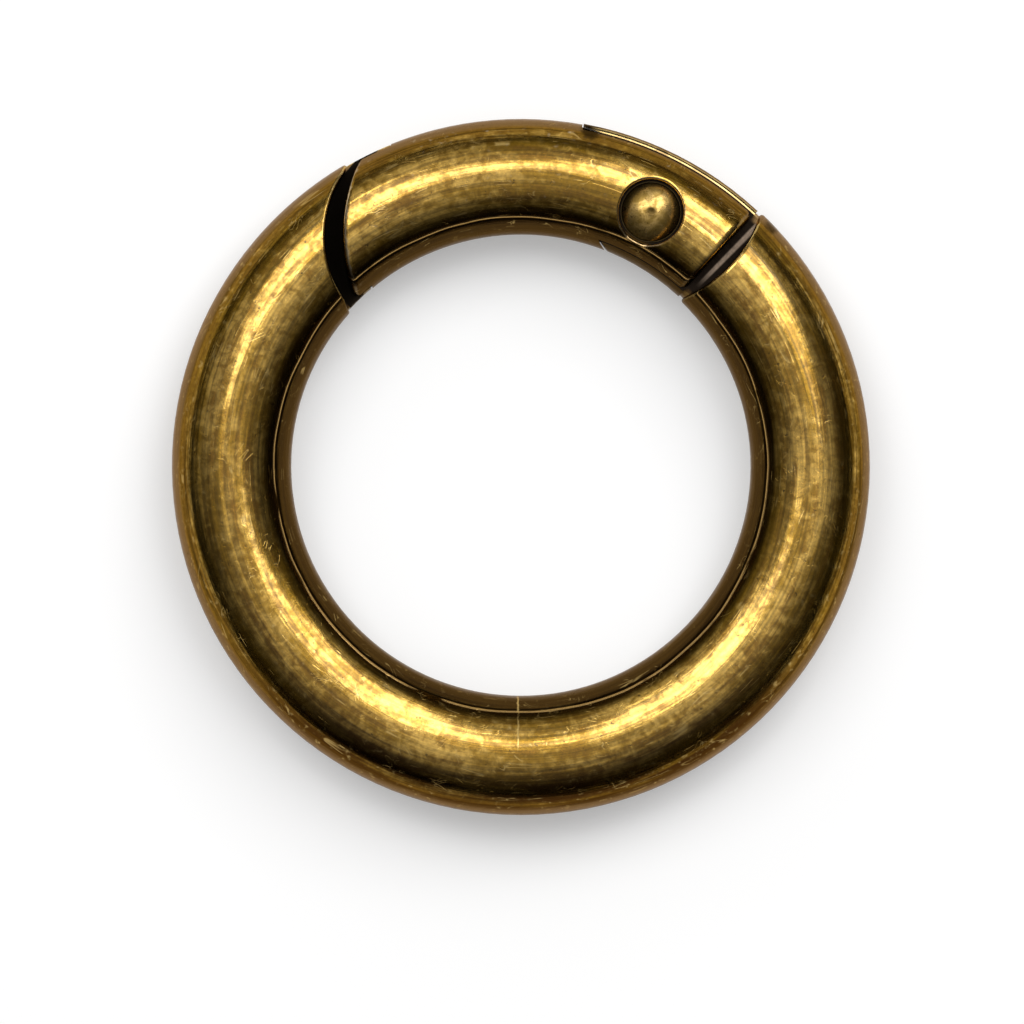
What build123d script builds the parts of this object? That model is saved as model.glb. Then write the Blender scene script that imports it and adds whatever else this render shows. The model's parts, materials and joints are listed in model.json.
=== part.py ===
from build123d import *
import os
from math import acos, asin, atan2, cos, degrees, hypot, radians, sin, sqrt, tan

# Spring gate ring, in millimetres.
# The ring lies flat: the origin is its centre and +Z is the axis of its eye.
# Angles are polar, in degrees, anticlockwise about +Z from +X.

# Ring
ring_bore = 25.0
body_section = 6.5
gate_inset = 0.1

# Hinge pivot, a little inside the middle line of the section
pivot_angle = 62.9
pivot_inset = 0.3

# Fork of the gate, with the tongue of the body between its cheeks
tongue_thickness = 2.8
fork_clearance = 0.1
tail_reach = 4.2
tail_round = 0.45
rim_round = 0.4
rim_relief = 0.1
neck_bite = 2.0
knuckle_reach = 0.25
knuckle_clearance = 0.1
heel_length = 5.5
heel_tip = 0.14
heel_gap = 0.06

# Hollow end of the body, which the corners of the fork swing past
outer_gap = 0.12
crest_gap = 0.9
inner_gap = 0.12
shoulder_round = 0.2

# Rivet through the cheeks, its heads sunk in a recess on each face
shank_diameter = 2.0
running_clearance = 0.05
head_diameter = 3.3
head_clearance = 0.12
head_cover = 0.12
head_edge = 0.12
collar_width = 0.05
collar_step = 0.03
recess_depth = 0.95
recess_round = 0.12
dimple_diameter = 0.5
dimple_depth = 0.07
dimple_point = 0.01

# Gate spring, a compression coil in a blind bore that passes inside the pivot
spring_offset = 1.2
spring_diameter = 2.0
spring_wire = 0.34
active_turns = 5
coil_gap = 0.02
bore_clearance = 0.15
bore_reach = 8.4
seat_depth = 1.15
seat_clearance = 0.02

# Latch: rounded nose on the gate, scooped end and thin tab on the body
nose_angle = 127.9
nose_skew = 37.9
nose_radius = 9.7
nose_round = 0.35
scoop_radius = 6.1
scoop_gap = 0.95
lip_gap = 0.5
lip_round = 0.15
tab_thickness = 1.6
tab_depth = 1.03
tab_lean = 17.0
tab_inset = 0.16
tab_bite = 1.2
tab_side_clearance = 0.1
tab_stop_clearance = 0.04

# Stock that the cuts pass through or leave behind
cut_margin = 1.0
nose_stock = 4.4

# Sizes that follow
ring_radius = (ring_bore + body_section) / 2
body_outer = ring_radius + body_section / 2
body_inner = ring_radius - body_section / 2
gate_section = body_section - 2 * gate_inset
gate_outer = ring_radius + gate_section / 2
pivot_radius = ring_radius - pivot_inset
fork_slot = tongue_thickness + 2 * fork_clearance
knuckle_radius = gate_section / 2 - pivot_inset + knuckle_reach
seat_reach = knuckle_radius - seat_depth
slot_radius = knuckle_radius + knuckle_clearance
recess_floor = gate_section / 2 - recess_depth
recess_radius = head_diameter / 2 + head_clearance
head_top = gate_section / 2 - head_cover
bore_radius = spring_diameter / 2 + bore_clearance
tab_slot = tab_thickness + 2 * tab_side_clearance
closed_pitch = spring_wire + coil_gap
beyond = 2 * body_section


def polar_point(radius, angle):
    """Point in the plane of the ring."""
    return Vector(radius * cos(radians(angle)), radius * sin(radians(angle)))


def section_plane(angle):
    """Radial plane, with local x outwards and local y along +Z."""
    across = (sin(radians(angle)), -cos(radians(angle)), 0)
    return Plane(origin=(0, 0, 0), x_dir=polar_point(1, angle), z_dir=across)


def tangent_touch(point, radius):
    """Where the line from a point of the hinge plane grazes the outer side of a knuckle."""
    turn = atan2(point.Y, point.X) - acos(radius / hypot(point.X, point.Y))
    return Vector(radius * cos(turn), radius * sin(turn))


def angle_at_reach(reach):
    """Polar angle of the radial plane that passes the pivot at this distance."""
    return pivot_angle - degrees(asin(reach / pivot_radius))


# Hinge plane: origin on the pivot, local x clockwise along the ring, local y outwards.
pivot = polar_point(pivot_radius, pivot_angle)
clockwise = Vector(sin(radians(pivot_angle)), -cos(radians(pivot_angle)))
hinge_plane = Plane(origin=pivot, x_dir=clockwise, z_dir=(0, 0, 1))

pivot_axis = Axis(pivot, (0, 0, 1))

# Latch plane: origin on the tip of the nose, local x straight out of the nose.
nose_tip = polar_point(ring_radius, nose_angle)
nose_dir = polar_point(1, nose_angle + 90 - nose_skew)
latch_plane = Plane(origin=nose_tip, x_dir=nose_dir, z_dir=(0, 0, 1))


def tab_outline(stop_clearance, swing_gap):
    """Everything beyond the tab's edge: a leaning stop line, then an arc round the pivot."""
    slope = tan(radians(tab_lean))
    start = -tab_depth - stop_clearance / cos(radians(tab_lean))
    swing_centre = latch_plane.to_local_coords(pivot)
    swing_radius = hypot(swing_centre.X + tab_depth, swing_centre.Y) - swing_gap
    with BuildSketch() as outline:
        Rectangle(beyond, beyond)
        with Locations(swing_centre):
            Circle(swing_radius, mode=Mode.SUBTRACT)
        with BuildLine():
            Polyline(
                (start - slope * body_section, -body_section),
                (start + slope * body_section, body_section),
                (beyond / 2, body_section),
                (beyond / 2, -body_section),
                close=True,
            )
        make_face()
    return outline.sketch


# Spring plane: origin beside the pivot, with its normal along the bore.
spring_origin = hinge_plane.from_local_coords((0, -spring_offset, 0))
spring_plane = Plane(origin=spring_origin, x_dir=(0, 0, 1), z_dir=-clockwise)

# The fork ends on one radial plane. The body's end is hollowed by an arc through
# three points, given by their gaps from that plane.
tail_angle = angle_at_reach(tail_reach)
outer_corner = polar_point(body_outer, tail_angle - degrees(outer_gap / body_outer))
hollow_bottom = polar_point(ring_radius, tail_angle - degrees(crest_gap / ring_radius))
inner_corner = polar_point(body_inner, tail_angle - degrees(inner_gap / body_inner))

# The neck of the tongue starts inside the body.
neck_angle = tail_angle - degrees((crest_gap + neck_bite) / ring_radius)

# The tongue's heel is a thin wedge along the outer rim, with a short end wall and a
# flank that grazes the knuckle. The slot of the fork ends beyond it and runs below it.
heel_angle = pivot_angle + degrees(heel_length / gate_outer)
slot_angle = heel_angle + degrees(heel_gap / gate_outer)
heel = hinge_plane.to_local_coords(polar_point(gate_outer - heel_tip, heel_angle))
slot_corner = hinge_plane.to_local_coords(polar_point(gate_outer - heel_tip - heel_gap, slot_angle))
slot_wall = hinge_plane.to_local_coords(polar_point(body_outer + cut_margin, slot_angle))
heel_touch = tangent_touch(heel, knuckle_radius)
slot_touch = tangent_touch(slot_corner, knuckle_radius - knuckle_clearance)
heel_beyond = heel + (heel - heel_touch).normalized() * cut_margin

# The body and the gate are both cut back at the nose from a longer arc.
overrun = degrees(nose_stock / ring_radius)
scooped_from = nose_angle - overrun

# Tongue: a plate whose outer rim is a flat band and whose inner rim follows the round
# section, with a knuckle round the pivot and a notch that seats the spring. Its neck,
# in the hinge gap, is a little narrower and round at both rims.
with BuildPart() as tongue:
    with BuildSketch(section_plane(tail_angle)):
        with Locations((ring_radius, 0)):
            Circle(gate_section / 2)
            Rectangle(body_section, tongue_thickness, mode=Mode.INTERSECT)
            RectangleRounded(
                gate_section / 2,
                tongue_thickness,
                rim_round,
                align=(Align.MIN, Align.CENTER),
            )
    revolve(axis=Axis.Z, revolution_arc=heel_angle - tail_angle)
    with BuildSketch(hinge_plane):
        with BuildLine():
            Polyline(
                heel_beyond,
                heel_touch,
                (0, 0),
                (0, -beyond),
                (-beyond, -beyond),
                (-beyond, heel_beyond.Y),
                close=True,
            )
        make_face()
        Circle(knuckle_radius, mode=Mode.SUBTRACT)
        with Locations((-seat_reach, bore_radius - spring_offset)):
            Rectangle(beyond, beyond, align=(Align.MAX, Align.MAX))
    extrude(amount=tongue_thickness, both=True, mode=Mode.SUBTRACT)
    with BuildSketch(section_plane(neck_angle)):
        with Locations((ring_radius, 0)):
            Circle(gate_section / 2 - rim_relief)
            Rectangle(body_section, tongue_thickness, mode=Mode.INTERSECT)
    revolve(axis=Axis.Z, revolution_arc=pivot_angle - neck_angle)
    with Locations(pivot):
        Hole(shank_diameter / 2 + running_clearance)

# Body: an open ring of round section, with the tongue at one end and, at the
# other, a scoop for the gate's nose with a thin tab standing in it.
with BuildPart() as ring_body:
    with BuildSketch(section_plane(scooped_from)):
        with Locations((ring_radius, 0)):
            Circle(body_section / 2)
    revolve(axis=Axis.Z, revolution_arc=360 + pivot_angle - scooped_from)
    with BuildSketch():
        with BuildLine():
            ThreePointArc(outer_corner, hollow_bottom, inner_corner)
            Polyline(
                inner_corner,
                polar_point(body_inner - cut_margin, pivot_angle),
                polar_point(body_outer + cut_margin, pivot_angle),
                outer_corner,
            )
        make_face()
    extrude(amount=body_section, both=True, mode=Mode.SUBTRACT)
    fillet(edges(Select.LAST).filter_by(GeomType.BSPLINE), radius=shoulder_round)
    with BuildSketch(latch_plane):
        with Locations((-nose_radius, 0)):
            Circle(nose_radius + lip_gap)
        with Locations((scoop_gap - scoop_radius, 0)):
            Circle(scoop_radius)
        with Locations((-body_section, 0)):
            Rectangle(beyond, 2 * beyond, align=(Align.MIN, Align.CENTER), mode=Mode.INTERSECT)
    extrude(amount=body_section, both=True, mode=Mode.SUBTRACT)
    fillet(edges(Select.LAST).filter_by(GeomType.BSPLINE), radius=lip_round)
    with BuildSketch(latch_plane):
        add(tab_outline(0, 0))
        with Locations((scoop_gap + tab_bite, 0)):
            Rectangle(beyond, beyond, align=(Align.MAX, Align.CENTER), mode=Mode.INTERSECT)
        with Locations(latch_plane.to_local_coords(Vector(0, 0, 0))):
            Circle(body_outer - tab_inset, mode=Mode.INTERSECT)
            Circle(body_inner + tab_inset, mode=Mode.SUBTRACT)
    extrude(amount=tab_thickness / 2, both=True)
    add(tongue.part)
ring_body.part.label = "ring_body"

# Gate: a slightly slimmer arc, forked at the hinge and slotted at the nose.
with BuildPart() as gate:
    with BuildSketch(section_plane(tail_angle)):
        with Locations((ring_radius, 0)):
            Circle(gate_section / 2)
    revolve(axis=Axis.Z, revolution_arc=nose_angle - tail_angle + overrun)
    tail = faces().sort_by_distance(polar_point(ring_radius, tail_angle))[0]
    fillet(tail.edges(), radius=tail_round)
    with BuildSketch(latch_plane):
        with Locations((-body_section, 0)):
            Rectangle(beyond, 2 * beyond, align=(Align.MIN, Align.CENTER))
        with Locations((-nose_radius, 0)):
            Circle(nose_radius, mode=Mode.SUBTRACT)
    extrude(amount=body_section, both=True, mode=Mode.SUBTRACT)
    fillet(edges(Select.LAST), radius=nose_round)
    with BuildSketch(hinge_plane):
        with BuildLine():
            Polyline(
                slot_wall,
                slot_corner,
                slot_touch,
                (0, 0),
                (0, -beyond),
                (beyond, -beyond),
                (beyond, beyond),
                (slot_wall.X, beyond),
                close=True,
            )
        make_face()
        Circle(slot_radius)
    extrude(amount=fork_slot / 2, both=True, mode=Mode.SUBTRACT)
    with BuildSketch(latch_plane):
        add(tab_outline(tab_stop_clearance, tab_side_clearance))
    extrude(amount=tab_slot / 2, both=True, mode=Mode.SUBTRACT)
    with Locations(hinge_plane.offset(gate_section / 2)):
        CounterBoreHole(shank_diameter / 2, recess_radius, recess_depth)
    fillet(edges(Select.LAST).filter_by(GeomType.BSPLINE), radius=recess_round)
    with Locations(hinge_plane.rotated((180, 0, 0)).offset(gate_section / 2)):
        CounterBoreHole(shank_diameter / 2, recess_radius, recess_depth)
    fillet(edges(Select.LAST).filter_by(GeomType.BSPLINE), radius=recess_round)
    with BuildSketch(spring_plane):
        Circle(bore_radius)
    extrude(amount=bore_reach, mode=Mode.SUBTRACT)
gate.part.label = "gate"

# Rivet: a solid shank headed over in both recesses, the upper head centre-popped.
collar_top = recess_floor + head_edge
dome_foot = Vector(head_diameter / 2 - collar_width, collar_top + collar_step)
dome_rise = head_top - dome_foot.Y
dome_radius = (dome_foot.X ** 2 + dome_rise ** 2) / (2 * dome_rise)
with BuildPart() as hinge_rivet:
    with BuildSketch(Plane(origin=pivot, x_dir=(1, 0, 0), z_dir=(0, -1, 0))):
        with BuildLine():
            Polyline(
                (0, head_top),
                (0, 0),
                (shank_diameter / 2, 0),
                (shank_diameter / 2, recess_floor),
                (head_diameter / 2, recess_floor),
                (head_diameter / 2, collar_top),
                (dome_foot.X, collar_top),
                dome_foot,
            )
            RadiusArc(dome_foot, (0, head_top), -dome_radius)
        make_face()
        mirror(about=Plane.XZ)
    revolve(axis=pivot_axis)
    with Locations(pivot + Vector(0, 0, head_top)):
        Cone(
            dimple_point / 2,
            dimple_diameter / 2,
            dimple_depth,
            align=(Align.CENTER, Align.CENTER, Align.MAX),
            mode=Mode.SUBTRACT,
        )
hinge_rivet.part.label = "hinge_rivet"

# Gate spring: open coils between two closed end coils, resting on the knuckle's
# seat at one end and on the bottom of the bore at the other.
coil_radius = (spring_diameter - spring_wire) / 2
coil_start = seat_reach + seat_clearance + spring_wire / 2
coil_end = bore_reach - seat_clearance - spring_wire / 2
active_height = coil_end - coil_start - 2 * closed_pitch
coil_steps = (
    (closed_pitch, closed_pitch, coil_start),
    (active_height / active_turns, active_height, coil_start + closed_pitch),
    (closed_pitch, closed_pitch, coil_end - closed_pitch),
)
with BuildPart() as gate_spring:
    with BuildLine() as coil:
        for pitch, height, start in coil_steps:
            base = spring_origin - clockwise * start
            Helix(pitch, height, coil_radius, center=base, direction=-clockwise)
    with BuildSketch(Plane(origin=coil.line @ 0, z_dir=coil.line % 0)):
        Circle(spring_wire / 2)
    sweep(path=coil.line, is_frenet=True)
gate_spring.part.label = "gate_spring"

os.makedirs("parts", exist_ok=True)
export_step(ring_body.part, "parts/ring_body.step")
export_step(gate.part, "parts/gate.step")
export_step(hinge_rivet.part, "parts/hinge_rivet.step")
export_step(gate_spring.part, "parts/gate_spring.step")
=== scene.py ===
import json
from math import cos, pi, radians, sin

import bpy
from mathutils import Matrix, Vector

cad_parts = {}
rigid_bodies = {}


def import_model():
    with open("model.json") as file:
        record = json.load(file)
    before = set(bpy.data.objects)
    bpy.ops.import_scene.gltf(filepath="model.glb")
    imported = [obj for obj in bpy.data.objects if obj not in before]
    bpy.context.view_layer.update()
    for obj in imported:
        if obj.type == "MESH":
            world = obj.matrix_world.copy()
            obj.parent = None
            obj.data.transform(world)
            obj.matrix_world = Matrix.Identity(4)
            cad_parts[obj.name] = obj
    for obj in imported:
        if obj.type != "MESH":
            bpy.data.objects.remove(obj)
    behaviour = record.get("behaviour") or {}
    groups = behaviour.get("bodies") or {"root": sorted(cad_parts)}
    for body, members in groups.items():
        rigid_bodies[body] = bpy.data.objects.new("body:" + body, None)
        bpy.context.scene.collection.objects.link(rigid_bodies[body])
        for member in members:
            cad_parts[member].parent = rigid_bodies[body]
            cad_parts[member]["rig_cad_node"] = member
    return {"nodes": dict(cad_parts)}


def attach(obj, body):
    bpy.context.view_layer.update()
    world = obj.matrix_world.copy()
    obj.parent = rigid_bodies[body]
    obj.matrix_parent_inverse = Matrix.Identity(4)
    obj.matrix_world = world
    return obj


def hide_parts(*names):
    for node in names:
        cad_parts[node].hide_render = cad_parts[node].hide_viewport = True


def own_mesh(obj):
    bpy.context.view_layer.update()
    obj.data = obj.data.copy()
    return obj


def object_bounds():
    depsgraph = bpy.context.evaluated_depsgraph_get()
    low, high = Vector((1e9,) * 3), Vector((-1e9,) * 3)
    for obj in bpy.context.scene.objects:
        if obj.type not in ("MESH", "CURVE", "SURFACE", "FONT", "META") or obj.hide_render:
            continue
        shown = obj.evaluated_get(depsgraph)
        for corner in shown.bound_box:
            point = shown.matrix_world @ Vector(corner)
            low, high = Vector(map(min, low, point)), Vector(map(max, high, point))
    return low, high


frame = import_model()
cad_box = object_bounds()
low = cad_box[0]

# Sizes of the ring, in millimetres, for the patterns that follow its round bar
BAR_CENTRE = 15.75
BODY_BAR = 3.25
GATE_BAR = 3.15
PIVOT = (7.038, 13.754, 0.0)
NOSE_CENTRE = (0.025, 12.428, 0.0)
SCOOP_CENTRE = (-4.525, 12.428, 0.0)
WEDGE_TIP = (3.8, 18.25, 0.0)
SHOULDER_NICK = (13.66, 13.03, 0.0)

# Where the hinge gap lies round the ring, in degrees from X
HINGE_GAP = 45.5

# Fades in millimetres, each from where a pattern starts to where it is full.
# Along the bar, from opposite the hinge gap
TONGUE_ROOT = (-34.0, -35.0)
WEDGE_TAIL = (-40.4, -40.9)
WEDGE_ROOT = (-49.3, -49.0)
# Outwards from the bar's centre line
INNER_HALF = (0.5, -1.5)
INNER_FLANK = (-1.0, -1.6)
OUTER_HALF = (0.2, 2.0)
WEDGE_GAP = (2.86, 2.83)
# Above or below the ring's middle plane
LOW_FLANK = (2.85, 1.2)
HIGH_CREST = (2.65, 3.0)
SHOULDER_LEVEL = (1.0, 1.7)
TAB_FACE = (0.86, 0.83)
# Round the centres of the nose and the scoop, and in X and Y
NOSE_REACH = (9.0, 9.2)
SCOOP_REACH = (6.13, 6.08)
TAB_SIDE = (-6.0, -7.0)
PARTING_FOOT = (-15.6, -14.8)
PARTING_TOP = (-12.4, -12.6)
SHOULDER_SIDE = (-9.0, -14.5)

# Levels of the raised line on the inner flank with its painted reflection and of the painted
# shade line under it, and how far out the wedge's lip with its painted highlight lies
RIDGE_LEVEL = 2.22
SHADE_LINE_LEVEL = 2.08
WEDGE_LIP = 2.96
# How far the parting mark lies from the ring's middle
PARTING_SHIFT = 0.16

# Vertices of the coil that lie this close, in metres, are one
SAME_POINT = 0.0000001
SMOOTH_BELOW = radians(30.0)

# Tones of the plating, from worn gold to grime, and of the painted shade, highlights and
# reflections laid over it
WORN_GOLD = (0.6, 0.375, 0.085, 1.0)
OLIVE = (0.27, 0.15, 0.015, 1.0)
BROWN = (0.19, 0.098, 0.014, 1.0)
STREAK_SHADE_BROWN = (0.04, 0.02, 0.004, 1.0)
INNER_SHADE_BROWN = (0.045, 0.028, 0.016, 1.0)
RIM_TARNISH_AND_SHADE = (0.185, 0.115, 0.057, 1.0)
SHADE_BROWN = (0.03, 0.015, 0.004, 1.0)
SHOULDER_SHADE_BROWN = (0.045, 0.016, 0.004, 1.0)
PIT_BROWN = (0.07, 0.04, 0.01, 1.0)
SCRATCH_GOLD = (0.62, 0.43, 0.15, 1.0)
RIDGE_GLINT_GOLD = (0.6, 0.38, 0.14, 1.0)
LIP_GLINT_GOLD = (0.7, 0.5, 0.2, 1.0)
BODY_EDGE = (0.62, 0.44, 0.16, 1.0)
GATE_EDGE = (0.5, 0.4, 0.26, 1.0)
GAP_SHEEN_GREY = (0.2, 0.15, 0.11, 1.0)
HOLLOW_AND_SHADE_BLACK = (0.01, 0.007, 0.005, 1.0)
SHADE_LINE_BLACK = (0.006, 0.004, 0.002, 1.0)
TAB_BLACK = (0.008, 0.006, 0.004, 1.0)
NOOK_SHADE_BLACK = (0.01, 0.006, 0.003, 1.0)
BRASS_GLANCE = (0.75, 0.62, 0.5, 1.0)

# Tones of the rivet, the spring and the floor
RIVET_GOLD = (0.54, 0.355, 0.115, 1.0)
RIVET_OLIVE = (0.27, 0.17, 0.04, 1.0)
RIVET_RIM = (0.03, 0.02, 0.008, 1.0)
DIMPLE_BROWN = (0.06, 0.035, 0.008, 1.0)
WIRE_DARK = (0.3, 0.3, 0.31, 1.0)
WIRE_PALE = (0.44, 0.43, 0.42, 1.0)
FLOOR_PAINT = (0.74, 0.74, 0.74, 1.0)
WHITE = (1.0, 1.0, 1.0, 1.0)

# The floor and the camera, in metres, and the sensor in millimetres
FLOOR_SIDE = 3.0
FLOOR_DROP = 0.00002
FLOOR_GLOW = 0.3
CAMERA_HEIGHT = 0.45
CAMERA_SHIFT = (-0.000484, -0.0025)
SENSOR_SIDE = 36.0
# The render's side over its scale is the width in view, in millimetres
RENDER_SIDE = 1024
RENDER_SCALE = 18.37

# Lamps: degrees off the vertical, degrees round from X, metres away, size, watts
LAMPS = {
    "key": (35.0, 53.0, 0.6, (0.32, 0.46), 1.75),
    "fill": (30.0, 130.0, 0.6, (0.26, 0.34), 0.93),
}

# A noise wanders round this value
MIDDLE = 0.5
TO_MILLIMETRES = (1000.0, 1000.0, 1000.0)
FLATTEN = (1.0, 1.0, 0.0)
FLOAT = "NodeSocketFloat"
VECTOR = "NodeSocketVector"
COLOR = "NodeSocketColor"


# --- Node helpers -------------------------------------------------------------


class Board:
    """Lays nodes out in a tree and wires them up."""

    def __init__(self, tree):
        self.tree = tree
        self.count = 0

    def add(self, kind, **settings):
        node = self.tree.nodes.new(kind)
        node.location = (self.count % 8 * 220, -(self.count // 8) * 260)
        self.count += 1
        for name, value in settings.items():
            setattr(node, name, value)
        return node

    def feed(self, socket, value):
        if isinstance(value, bpy.types.NodeSocket):
            self.tree.links.new(value, socket)
        else:
            socket.default_value = value

    def math(self, operation, a, b=0.0, clamp=False):
        node = self.add("ShaderNodeMath", operation=operation, use_clamp=clamp)
        self.feed(node.inputs[0], a)
        self.feed(node.inputs[1], b)
        return node.outputs[0]

    def plus(self, total, *others):
        for other in others:
            total = self.math("ADD", total, other)
        return total

    def minus(self, a, b):
        return self.math("SUBTRACT", a, b)

    def times(self, total, *others):
        for other in others:
            total = self.math("MULTIPLY", total, other)
        return total

    def most(self, a, b):
        return self.math("MAXIMUM", a, b)

    def vector(self, operation, a, b):
        node = self.add("ShaderNodeVectorMath", operation=operation)
        self.feed(node.inputs[0], a)
        self.feed(node.inputs[1], b)
        return node.outputs[0]

    def length(self, vector):
        node = self.add("ShaderNodeVectorMath", operation="LENGTH")
        self.feed(node.inputs[0], vector)
        return node.outputs["Value"]

    def away(self, vector, centre):
        """How far a place lies from a centre."""
        return self.length(self.vector("SUBTRACT", vector, centre))

    def place(self, vector, scale=(1.0, 1.0, 1.0), turn=(0.0, 0.0, 0.0), move=(0.0, 0.0, 0.0)):
        node = self.add("ShaderNodeMapping")
        self.feed(node.inputs["Vector"], vector)
        node.inputs["Scale"].default_value = scale
        node.inputs["Rotation"].default_value = turn
        node.inputs["Location"].default_value = move
        return node.outputs[0]

    def millimetres(self):
        """The place on the ring, in millimetres."""
        metres = self.add("ShaderNodeTexCoord").outputs["Object"]
        return self.place(metres, scale=TO_MILLIMETRES)

    def split(self, vector):
        node = self.add("ShaderNodeSeparateXYZ")
        self.feed(node.inputs[0], vector)
        return node.outputs

    def noise(self, vector, scale, detail=3.0, roughness=0.5, distortion=0.0):
        node = self.add("ShaderNodeTexNoise")
        self.feed(node.inputs["Vector"], vector)
        self.feed(node.inputs["Scale"], scale)
        node.inputs["Detail"].default_value = detail
        node.inputs["Roughness"].default_value = roughness
        node.inputs["Distortion"].default_value = distortion
        return node.outputs[0]

    def drawn(self, vector, stretch, scale=1.0, move=(0.0, 0.0, 0.0), **settings):
        """A noise drawn out along the bar."""
        return self.noise(self.place(vector, scale=stretch, move=move), scale, **settings)

    def wander(self, noise, reach):
        """Turns a noise into a wavering to both sides of nought."""
        return self.times(self.minus(noise, MIDDLE), reach)

    def band(self, value, start, end, low_value=0.0, high_value=1.0):
        """Fades from the low value at the start to the high value at the end."""
        node = self.add("ShaderNodeMapRange", interpolation_type="SMOOTHSTEP")
        self.feed(node.inputs["Value"], value)
        self.feed(node.inputs["From Min"], start)
        self.feed(node.inputs["From Max"], end)
        node.inputs["To Min"].default_value = low_value
        node.inputs["To Max"].default_value = high_value
        return node.outputs[0]

    def line(self, value, at, outer, inner):
        """A line where the value comes near one number."""
        return self.band(self.math("ABSOLUTE", self.minus(value, at)), outer, inner)

    def blend(self, factor, first, second, mode="MIX"):
        node = self.add("ShaderNodeMix", data_type="RGBA", blend_type=mode)
        self.feed(node.inputs[0], factor)
        self.feed(node.inputs[6], first)
        self.feed(node.inputs[7], second)
        return node.outputs[2]

    def tint(self, color, tone, mask, strength=None):
        """Lays a tone over a color through a mask."""
        return self.blend(mask if strength is None else self.times(mask, strength), color, tone)


def new_group(name, inputs, outputs):
    """A shader node group. An input that has no value of its own is a vector."""
    tree = bpy.data.node_groups.new(name, "ShaderNodeTree")
    for label, value in inputs.items():
        kind = VECTOR if value is None else FLOAT
        socket = tree.interface.new_socket(label, in_out="INPUT", socket_type=kind)
        if value is not None:
            socket.default_value = value
    for label, kind in outputs.items():
        tree.interface.new_socket(label, in_out="OUTPUT", socket_type=kind)
    board = Board(tree)
    given = board.add("NodeGroupInput").outputs
    result = board.add("NodeGroupOutput").inputs
    return tree, board, given, result


def use_group(board, tree, **values):
    node = board.add("ShaderNodeGroup", node_tree=tree)
    for label, value in values.items():
        board.feed(node.inputs[label.replace("_", " ")], value)
    return node.outputs


# --- Shared effects -----------------------------------------------------------


def make_bar_coordinates():
    """Unrolls the round bar: millimetres along it, round it, and below its skin."""
    tree, board, given, result = new_group(
        "bar coordinates",
        {"Bar Radius": BODY_BAR, "Tongue Radius": GATE_BAR},
        {
            "Millimetres": VECTOR,
            "Unrolled": VECTOR,
            "Depth": FLOAT,
            "Height": FLOAT,
            "Outward": FLOAT,
        },
    )
    millimetres = board.millimetres()
    turned = board.place(millimetres, turn=(0.0, 0.0, radians(180.0 - HINGE_GAP)))
    x, y, z = board.split(turned)
    radius = board.math("SQRT", board.plus(board.times(x, x), board.times(y, y)))
    out = board.minus(radius, BAR_CENTRE)
    across = board.math("SQRT", board.plus(board.times(out, out), board.times(z, z)))
    along = board.times(board.math("ARCTAN2", y, x), BAR_CENTRE)
    around = board.times(board.math("ARCTAN2", z, out), BODY_BAR)
    unrolled = board.add("ShaderNodeCombineXYZ")
    board.feed(unrolled.inputs[0], along)
    board.feed(unrolled.inputs[1], around)
    tongue = board.band(along, *TONGUE_ROOT)
    step = board.minus(given["Tongue Radius"], given["Bar Radius"])
    skin = board.plus(given["Bar Radius"], board.times(step, tongue))
    board.feed(result["Millimetres"], millimetres)
    board.feed(result["Unrolled"], unrolled.outputs[0])
    board.feed(result["Depth"], board.minus(skin, across))
    board.feed(result["Height"], z)
    board.feed(result["Outward"], out)
    return tree


def make_scratches():
    """Thin lines broken into strokes, running along the given vector's X."""
    tree, board, given, result = new_group(
        "scratches",
        {"Vector": None, "Stretch": 0.1, "Spacing": 1.0, "Width": 0.01, "Coverage": 0.55},
        {"Mask": FLOAT},
    )
    stretched = board.add("ShaderNodeCombineXYZ")
    board.feed(stretched.inputs[0], given["Stretch"])
    stretched.inputs[1].default_value = 1.0
    stretched.inputs[2].default_value = 1.0
    lines_at = board.vector("MULTIPLY", given["Vector"], stretched.outputs[0])
    lines = board.noise(lines_at, given["Spacing"], detail=1.0, distortion=0.35)
    line = board.line(lines, MIDDLE, given["Width"], 0.0)
    strokes = board.noise(given["Vector"], 0.7, detail=2.0)
    kept = board.band(strokes, given["Coverage"], board.plus(given["Coverage"], 0.06))
    board.feed(result["Mask"], board.times(line, kept))
    return tree


def make_wear():
    """Where the plating is rubbed bright, and where polish never reaches."""
    tree, board, given, result = new_group(
        "edge wear and hollows", {"Depth": 0.0, "Vector": None}, {"Edge": FLOAT, "Hollow": FLOAT}
    )
    ragged = board.noise(given["Vector"], 2.5, detail=3.0)
    depth = board.plus(given["Depth"], board.wander(ragged, 0.08))
    board.feed(result["Hollow"], board.band(depth, 0.12, 0.35))
    rise = board.band(depth, 0.012, 0.035)
    fall = board.band(depth, 0.12, 0.07)
    board.feed(result["Edge"], board.times(rise, fall))
    return tree


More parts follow.
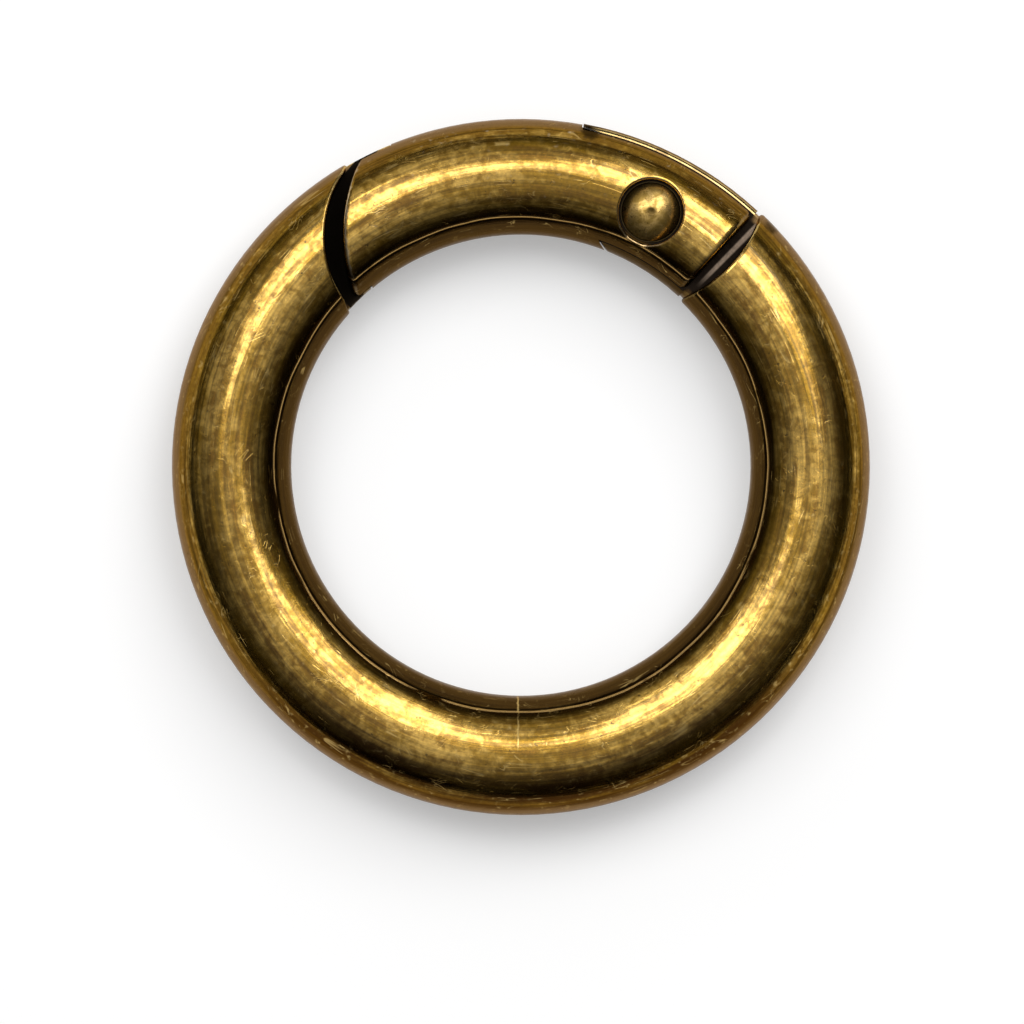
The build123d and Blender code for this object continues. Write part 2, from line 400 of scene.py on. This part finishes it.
def make_patina_and_shade():
    """Mottled tarnish in three tones, from worn gold through olive to brown, with painted shade
    over the flanks.
    """
    tree, board, given, result = new_group(
        "patina_and_shade",
        {"Vector": None, "Unrolled": None, "Flank": 0.0, "Inside": 0.0},
        {"Color": COLOR, "Tarnish": FLOAT},
    )
    unrolled, flank, inside = given["Unrolled"], given["Flank"], given["Inside"]
    clouds = board.drawn(unrolled, (0.11, 0.6, 1.0), detail=4.0, roughness=0.58, distortion=0.3)
    spots = board.noise(given["Vector"], 1.6, detail=3.0, roughness=0.58, distortion=0.5)
    streaks = board.drawn(unrolled, (0.14, 1.6, 1.0), detail=5.0, roughness=0.65)
    mottle = board.plus(board.times(clouds, 0.62), board.times(spots, 0.38))
    # Olive and brown grow towards the flanks: partly tarnish, partly painted shade
    olive = board.band(board.plus(mottle, board.times(flank, 0.12)), 0.4, 0.58)
    gold = board.blend(olive, WORN_GOLD, OLIVE)
    smears = board.plus(board.times(streaks, 0.7), board.times(spots, 0.3))
    brown = board.band(board.plus(smears, board.times(flank, 0.22)), 0.45, 0.64)
    color = board.tint(gold, BROWN, brown)

    # Painted shade: dark streaks, strongest half way down the flank, standing in for the dark
    # horizon reflected there
    shade_streaks = board.band(
        board.drawn(unrolled, (0.1, 2.4, 1.0), detail=4.0, roughness=0.6), 0.47, 0.62
    )
    half_way = board.times(board.times(flank, board.minus(1.15, flank)), 3.0)
    streak_shade = board.math("MULTIPLY", shade_streaks, half_way, clamp=True)
    color = board.tint(color, STREAK_SHADE_BROWN, streak_shade, 0.75)
    speckle = board.noise(given["Vector"], 4.5, detail=2.0, roughness=0.6)
    lines = board.drawn(unrolled, (0.07, 4.0, 1.0), detail=3.0, roughness=0.6)
    color = board.blend(1.0, color, board.band(speckle, 0.3, 0.7, 0.86, 1.12), mode="MULTIPLY")
    color = board.blend(1.0, color, board.band(lines, 0.34, 0.64, 0.7, 1.2), mode="MULTIPLY")
    # Painted shade: the inner flank darkened where it reflects the shaded floor inside the ring
    color = board.tint(color, INNER_SHADE_BROWN, board.times(inside, flank), 0.88)
    # The outer flank tinted brown: tarnish, and painted shade that darkens its reflection of the
    # floor
    rim = board.times(board.minus(1.0, inside), board.band(flank, 0.7, 1.0))
    color = board.tint(color, RIM_TARNISH_AND_SHADE, rim, 0.75)
    board.feed(result["Color"], color)
    board.feed(result["Tarnish"], board.most(board.times(olive, 0.5), brown))
    return tree


def make_marks_and_shade():
    """Marks in fixed places: the dark tab in the scoop, a parting mark, and painted shade at the
    wedge's tip, at the shoulder's nick and on the lower outer shoulder.
    """
    tree, board, given, result = new_group(
        "marks",
        {"Vector": None, "Height": 0.0, "Outward": 0.0},
        {"Tab": FLOAT, "Nook Shade": FLOAT, "Parting": FLOAT, "Shoulder Shade": FLOAT},
    )
    flat = board.vector("MULTIPLY", given["Vector"], FLATTEN)
    x, y, _ = board.split(flat)
    level = board.math("ABSOLUTE", given["Height"])
    beyond_nose = board.band(board.away(flat, NOSE_CENTRE), *NOSE_REACH)
    in_scoop = board.band(board.away(flat, SCOOP_CENTRE), *SCOOP_REACH)
    at_tab = board.band(level, *TAB_FACE)
    tab = board.times(beyond_nose, in_scoop, at_tab, board.band(x, *TAB_SIDE))
    board.feed(result["Tab"], tab)

    ragged = board.wander(board.noise(given["Vector"], 3.0), 0.5)
    # Painted shade: dark patches at the wedge's tip and at the nick in the shoulder
    nook_shade = 0.0
    for centre, reach in ((WEDGE_TIP, 0.75), (SHOULDER_NICK, 0.55)):
        away = board.plus(board.away(flat, centre), ragged)
        nook_shade = board.most(board.band(away, reach, reach * 0.4), nook_shade)
    board.feed(result["Nook Shade"], nook_shade)

    off_mark = board.plus(x, PARTING_SHIFT, board.times(ragged, 0.4))
    stroke = board.band(board.math("ABSOLUTE", off_mark), 0.07, 0.02)
    span = board.times(board.band(y, *PARTING_FOOT), board.band(y, *PARTING_TOP))
    board.feed(result["Parting"], board.times(stroke, span))

    # Painted shade on the lower outer shoulder, the side away from the lamps
    low_side = board.band(y, *SHOULDER_SIDE)
    outer = board.band(given["Outward"], *OUTER_HALF)
    shoulder_shade = board.times(low_side, outer, board.band(level, *SHOULDER_LEVEL))
    board.feed(result["Shoulder Shade"], shoulder_shade)
    return tree


# --- Finishes -----------------------------------------------------------------


def new_metal(name):
    """A material with a bare metal shader and a board to wire it on."""
    material = bpy.data.materials.new(name)
    material.use_nodes = True
    metal = material.node_tree.nodes["Principled BSDF"]
    metal.inputs["Metallic"].default_value = 1.0
    return material, Board(material.node_tree), metal


def add_bump(board, metal, height):
    """Bumps the metal by a height in millimetres."""
    bump = board.add("ShaderNodeBump")
    bump.inputs["Strength"].default_value = 1.0
    bump.inputs["Distance"].default_value = 0.001
    board.feed(bump.inputs["Height"], height)
    board.feed(metal.inputs["Normal"], bump.outputs[0])


def bar_scratches(board, scratches, unrolled, level):
    """Long lines, crossed lines and curls, fewer of them low on the flanks."""

    def lines(vector, stretch, spacing, width, coverage):
        drawn = use_group(
            board,
            scratches,
            Vector=vector,
            Stretch=stretch,
            Spacing=spacing,
            Width=width,
            Coverage=coverage,
        )
        return drawn["Mask"]

    crossed = board.place(unrolled, turn=(0.0, 0.0, radians(35.0)), move=(31.0, 12.0, 0.0))
    curled = board.place(unrolled, turn=(0.0, 0.0, radians(-50.0)), move=(5.0, 42.0, 0.0))
    long_lines = lines(unrolled, 0.07, 1.5, 0.02, 0.55)
    short_lines = lines(crossed, 0.25, 1.9, 0.018, 0.6)
    curls = lines(curled, 0.5, 2.6, 0.014, 0.6)
    all_lines = board.most(long_lines, board.most(short_lines, curls))
    return board.times(all_lines, board.band(level, 0.8, 2.4, 0.35, 1.0))


def ridge_glint_and_shade(board, unrolled, level, outward):
    """A broken raised line along the inner flank with a painted reflection on it, and a line of
    painted shade under it.
    """
    sway = board.drawn(unrolled, (0.12, 0.0, 0.0), detail=2.0)
    swayed = board.plus(level, board.wander(sway, 0.35))
    inner = board.band(outward, *INNER_FLANK)
    broken = board.drawn(unrolled, (0.25, 0.0, 0.0), move=(9.0, 0.0, 0.0), detail=3.0)
    crest = board.line(swayed, RIDGE_LEVEL, 0.07, 0.0)
    ridge_glint = board.times(crest, inner, board.band(broken, 0.36, 0.46))
    shade_line = board.times(board.line(swayed, SHADE_LINE_LEVEL, 0.09, 0.03), inner)
    return ridge_glint, shade_line


def wedge_lines(board, color, unrolled, outward):
    """Painted shade in the gap under the wedge, and a painted highlight on its lip with a fine
    line of painted shade along it.
    """
    along = board.split(unrolled)[0]
    on_wedge = board.times(board.band(along, *WEDGE_TAIL), board.band(along, *WEDGE_ROOT))
    # Painted shade in the gap under the wedge
    gap = board.times(on_wedge, board.band(outward, *WEDGE_GAP))
    color = board.tint(color, HOLLOW_AND_SHADE_BLACK, gap)
    # Painted highlight on the wedge's lip, broken up along it
    glint_breakup = board.drawn(unrolled, (0.6, 0.0, 0.0), move=(2.0, 0.0, 0.0), detail=3.0)
    lip = board.line(outward, WEDGE_LIP, 0.11, 0.08)
    lip = board.times(lip, board.band(glint_breakup, 0.36, 0.56, 0.25, 1.0))
    color = board.tint(color, LIP_GLINT_GOLD, board.times(on_wedge, lip))
    # A fine line of painted shade along the lip
    fine = board.line(outward, WEDGE_LIP, 0.035, 0.02)
    return board.tint(color, HOLLOW_AND_SHADE_BLACK, board.times(on_wedge, fine))


def antique_brass(name, bar_radius, edge_color, seam_wear, wedge, groups):
    """Antique brass plating on the round bar."""
    bar, scratches, wear, patina_and_shade, marks = groups
    material, board, metal = new_metal(name)
    metal.inputs["Specular Tint"].default_value = BRASS_GLANCE
    metal.inputs["Coat Roughness"].default_value = 0.12

    at = use_group(board, bar, Bar_Radius=bar_radius)
    millimetres, unrolled, outward = at["Millimetres"], at["Unrolled"], at["Outward"]
    level = board.math("ABSOLUTE", at["Height"])
    flank = board.band(level, *LOW_FLANK)
    inside = board.band(outward, *INNER_HALF)
    board.feed(metal.inputs["Coat Weight"], board.band(level, *HIGH_CREST, 0.0, 0.35))
    tone = use_group(
        board, patina_and_shade, Vector=millimetres, Unrolled=unrolled, Flank=flank, Inside=inside
    )
    worn = use_group(board, wear, Depth=at["Depth"], Vector=millimetres)
    marks_and_shade = use_group(board, marks, Vector=millimetres, Height=at["Height"], Outward=outward)
    scratch = bar_scratches(board, scratches, unrolled, level)
    pits = board.band(board.noise(millimetres, 4.0, detail=2.0), 0.69, 0.73)
    ridge_glint, shade_line = ridge_glint_and_shade(board, unrolled, level, outward)

    # Painted shade on the inner side and the lower outer shoulder, tarnish and fine marks, and a
    # raised line on the inner flank with painted shade and a painted reflection
    # Painted shade on the inner side, just below the crest
    shade = board.times(inside, board.band(level, 2.85, 2.45, 0.0, 0.6))
    color = board.tint(tone["Color"], SHADE_BROWN, shade)
    # Painted shade on the lower outer shoulder, broken up by streaks
    shade_breakup = board.drawn(
        unrolled, (0.12, 1.1, 1.0), move=(3.0, 0.0, 0.0), detail=5.0, roughness=0.65
    )
    shoulder_shade = board.times(marks_and_shade["Shoulder Shade"], board.band(shade_breakup, 0.38, 0.56, 0.35, 0.9))
    color = board.tint(color, SHOULDER_SHADE_BROWN, shoulder_shade)
    color = board.tint(color, SCRATCH_GOLD, scratch, 0.6)
    color = board.tint(color, PIT_BROWN, pits, 0.7)
    # Painted shade in a line under the raised line on the inner flank, and a painted reflection
    # along it
    color = board.tint(color, SHADE_LINE_BLACK, shade_line, 0.9)
    color = board.tint(color, RIDGE_GLINT_GOLD, ridge_glint, 0.9)

    # Rubbed edges, dark hollows, and a painted sheen along the middle of the hinge gap
    along = board.split(unrolled)[0]
    from_seam = board.minus(pi * BAR_CENTRE, board.math("ABSOLUTE", along))
    rubbed = board.times(worn["Edge"], board.band(outward, -2.4, -1.6, 0.15, 0.7))
    rubbed = board.times(rubbed, board.band(from_seam, 1.0, 2.0, seam_wear, 1.0))
    color = board.tint(color, edge_color, rubbed)
    color = board.tint(color, HOLLOW_AND_SHADE_BLACK, worn["Hollow"])
    # Painted highlight: a pale sheen where light reaches the tongue's face inside the hinge gap
    gap_sheen = board.times(board.band(from_seam, 0.17, 0.06), worn["Hollow"])
    gap_sheen = board.times(gap_sheen, board.band(outward, -2.2, -0.6))
    color = board.tint(color, GAP_SHEEN_GREY, gap_sheen)

    color = board.tint(color, TAB_BLACK, marks_and_shade["Tab"])
    # Painted shade at the wedge's tip and the shoulder's nick
    color = board.tint(color, NOOK_SHADE_BLACK, marks_and_shade["Nook Shade"], 0.9)
    color = board.tint(color, SCRATCH_GOLD, marks_and_shade["Parting"], 0.7)
    if wedge:
        color = wedge_lines(board, color, unrolled, outward)
    board.feed(metal.inputs["Base Color"], color)

    smudge = board.noise(millimetres, 0.8, detail=4.0)
    rough = board.plus(
        board.times(smudge, 0.12),
        0.1,
        board.times(tone["Tarnish"], 0.1),
        board.times(worn["Hollow"], 0.2),
        board.times(marks_and_shade["Tab"], 0.3),
    )
    board.feed(metal.inputs["Roughness"], rough)

    # Relief, in millimetres
    swell = board.drawn(unrolled, (0.25, 1.0, 1.0), 0.6, detail=2.0)
    ripple = board.drawn(unrolled, (0.5, 1.0, 1.0), 2.0, detail=3.0, roughness=0.55)
    draw = board.drawn(unrolled, (0.05, 1.0, 1.0), 3.0, detail=3.0)
    grain = board.noise(millimetres, 9.0, detail=3.0, roughness=0.6)
    height = board.plus(
        board.times(swell, 0.055),
        board.times(ripple, 0.006),
        board.times(draw, 0.014),
        board.times(grain, 0.003),
    )
    height = board.minus(height, board.times(scratch, 0.003))
    height = board.minus(height, board.times(pits, 0.004))
    add_bump(board, metal, board.plus(height, board.times(ridge_glint, 0.02)))
    return material


def rivet_brass(name):
    """The rivet: a mottled dome, a dark rim and a dark punched dimple."""
    material, board, metal = new_metal(name)
    metal.inputs["Specular Tint"].default_value = BRASS_GLANCE
    millimetres = board.millimetres()
    from_pivot = board.vector("SUBTRACT", millimetres, PIVOT)
    radius = board.length(board.vector("MULTIPLY", from_pivot, FLATTEN))
    ragged = board.noise(millimetres, 3.0, detail=4.0)
    dimple = board.band(board.plus(radius, board.wander(ragged, 0.3)), 0.36, 0.16)

    clouds = board.noise(millimetres, 1.4, detail=5.0, roughness=0.65, distortion=0.6)
    color = board.blend(board.band(clouds, 0.4, 0.62), RIVET_GOLD, RIVET_OLIVE)
    specks = board.band(board.noise(millimetres, 5.0, detail=3.0), 0.6, 0.68)
    color = board.tint(color, PIT_BROWN, specks, 0.6)
    color = board.tint(color, DIMPLE_BROWN, dimple, 0.8)
    color = board.tint(color, RIVET_RIM, board.band(radius, 1.5, 1.6))
    board.feed(metal.inputs["Base Color"], color)
    rough = board.plus(board.band(clouds, 0.3, 0.7, 0.24, 0.38), board.times(dimple, 0.3))
    board.feed(metal.inputs["Roughness"], rough)
    dents = board.noise(millimetres, 1.6, detail=3.0)
    grain = board.noise(millimetres, 9.0, detail=3.0, roughness=0.6)
    add_bump(board, metal, board.plus(board.times(dents, 0.025), board.times(grain, 0.003)))
    return material


def spring_steel(name):
    """Drawn wire with faint draw marks."""
    material, board, metal = new_metal(name)
    marks = board.noise(board.millimetres(), 6.0, detail=3.0)
    board.feed(metal.inputs["Base Color"], board.blend(marks, WIRE_DARK, WIRE_PALE))
    board.feed(metal.inputs["Roughness"], board.band(marks, 0.2, 0.8, 0.25, 0.45))
    return material


def dress(node, material):
    mesh = frame["nodes"][node].data
    mesh.materials.clear()
    mesh.materials.append(material)


groups = (
    make_bar_coordinates(),
    make_scratches(),
    make_wear(),
    make_patina_and_shade(),
    make_marks_and_shade(),
)
dress("ring_body", antique_brass("antique brass, body", BODY_BAR, BODY_EDGE, 1.0, True, groups))
dress("gate", antique_brass("antique brass, gate", GATE_BAR, GATE_EDGE, 0.2, False, groups))
dress("hinge_rivet", rivet_brass("antique brass, rivet"))


# --- The spring, a copy of the coil that the gate carries ---------------------


def make_spring(material):
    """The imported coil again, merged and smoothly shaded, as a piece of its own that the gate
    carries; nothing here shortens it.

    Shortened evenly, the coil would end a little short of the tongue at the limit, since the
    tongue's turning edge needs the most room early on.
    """
    packed = frame["nodes"]["gate_spring"]
    bpy.ops.object.select_all(action="DESELECT")
    packed.select_set(True)
    bpy.context.view_layer.objects.active = packed
    bpy.ops.object.duplicate()
    coil = bpy.context.object
    coil.name = "closing_spring"
    del coil["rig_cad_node"]
    coil.data.materials.clear()
    coil.data.materials.append(material)
    bpy.ops.object.mode_set(mode="EDIT")
    bpy.ops.mesh.select_all(action="SELECT")
    bpy.ops.mesh.remove_doubles(threshold=SAME_POINT)
    bpy.ops.object.mode_set(mode="OBJECT")
    bpy.ops.mesh.customdata_custom_splitnormals_clear()
    bpy.ops.object.shade_smooth_by_angle(angle=SMOOTH_BELOW)
    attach(coil, "gate")
    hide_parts("gate_spring")
    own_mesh(coil)


make_spring(spring_steel("spring steel"))


# --- Floor, light and camera --------------------------------------------------


def make_floor():
    """A pale floor that glows to white where it is seen, and keeps the shadow."""
    bpy.ops.object.select_all(action="DESELECT")
    bpy.ops.mesh.primitive_plane_add(size=FLOOR_SIDE, location=(0.0, 0.0, low.z - FLOOR_DROP))
    floor = bpy.context.object
    floor.name = "floor"
    material = bpy.data.materials.new("floor paint")
    material.use_nodes = True
    board = Board(material.node_tree)
    paint = material.node_tree.nodes["Principled BSDF"]
    paint.inputs["Base Color"].default_value = FLOOR_PAINT
    paint.inputs["Roughness"].default_value = 1.0
    paint.inputs["Specular IOR Level"].default_value = 0.0
    paint.inputs["Emission Color"].default_value = WHITE
    ray = board.add("ShaderNodeLightPath").outputs
    mirrored = board.most(ray["Is Glossy Ray"], ray["Is Transmission Ray"])
    seen = board.most(ray["Is Camera Ray"], mirrored)
    board.feed(paint.inputs["Emission Strength"], board.times(seen, FLOOR_GLOW))
    floor.data.materials.append(material)


def softbox(name, polar, turn, distance, size, power):
    """An area lamp that faces the ring, polar degrees off the vertical."""
    lamp = bpy.data.lights.new(name, "AREA")
    lamp.shape = "RECTANGLE"
    lamp.size, lamp.size_y = size
    lamp.energy = power
    holder = bpy.data.objects.new(name, lamp)
    bpy.context.scene.collection.objects.link(holder)
    lean, side = radians(polar), radians(turn)
    way = Vector((sin(lean) * cos(side), sin(lean) * sin(side), cos(lean)))
    holder.location = way * distance
    holder.rotation_mode = "QUATERNION"
    holder.rotation_quaternion = way.to_track_quat("Z", "Y")


def make_world():
    """A tent that is brightest overhead and behind the hinge, and dark at the horizon."""
    world = bpy.data.worlds.new("studio")
    bpy.context.scene.world = world
    world.use_nodes = True
    board = Board(world.node_tree)
    sky = world.node_tree.nodes["Background"]
    x, y, z = board.split(board.add("ShaderNodeTexCoord").outputs["Generated"])
    overhead = board.times(board.math("POWER", board.most(z, 0.0), 5.0), 0.85)
    leaning = board.minus(y, board.times(x, 0.25))
    behind = board.times(board.most(leaning, 0.0), board.band(z, 0.05, 0.5, 0.0, 0.7))
    brightness = board.plus(overhead, behind, board.band(z, 0.1, 0.5, 0.0, 0.06))
    grey = board.add("ShaderNodeCombineColor")
    for socket in grey.inputs:
        board.feed(socket, brightness)
    board.feed(sky.inputs["Color"], grey.outputs[0])


def make_camera():
    """Looks straight down on the ring."""
    view_width = RENDER_SIDE / RENDER_SCALE / 1000
    lens = bpy.data.cameras.new("camera")
    lens.sensor_width = SENSOR_SIDE
    lens.lens = SENSOR_SIDE * CAMERA_HEIGHT / view_width
    lens.clip_start = 0.01
    lens.clip_end = 10.0
    camera = bpy.data.objects.new("camera", lens)
    camera.location = (*CAMERA_SHIFT, CAMERA_HEIGHT)
    bpy.context.scene.collection.objects.link(camera)
    bpy.context.scene.camera = camera


make_floor()
make_world()
for name, settings in LAMPS.items():
    softbox(name, *settings)
make_camera()
bpy.context.scene.view_settings.view_transform = "Standard"
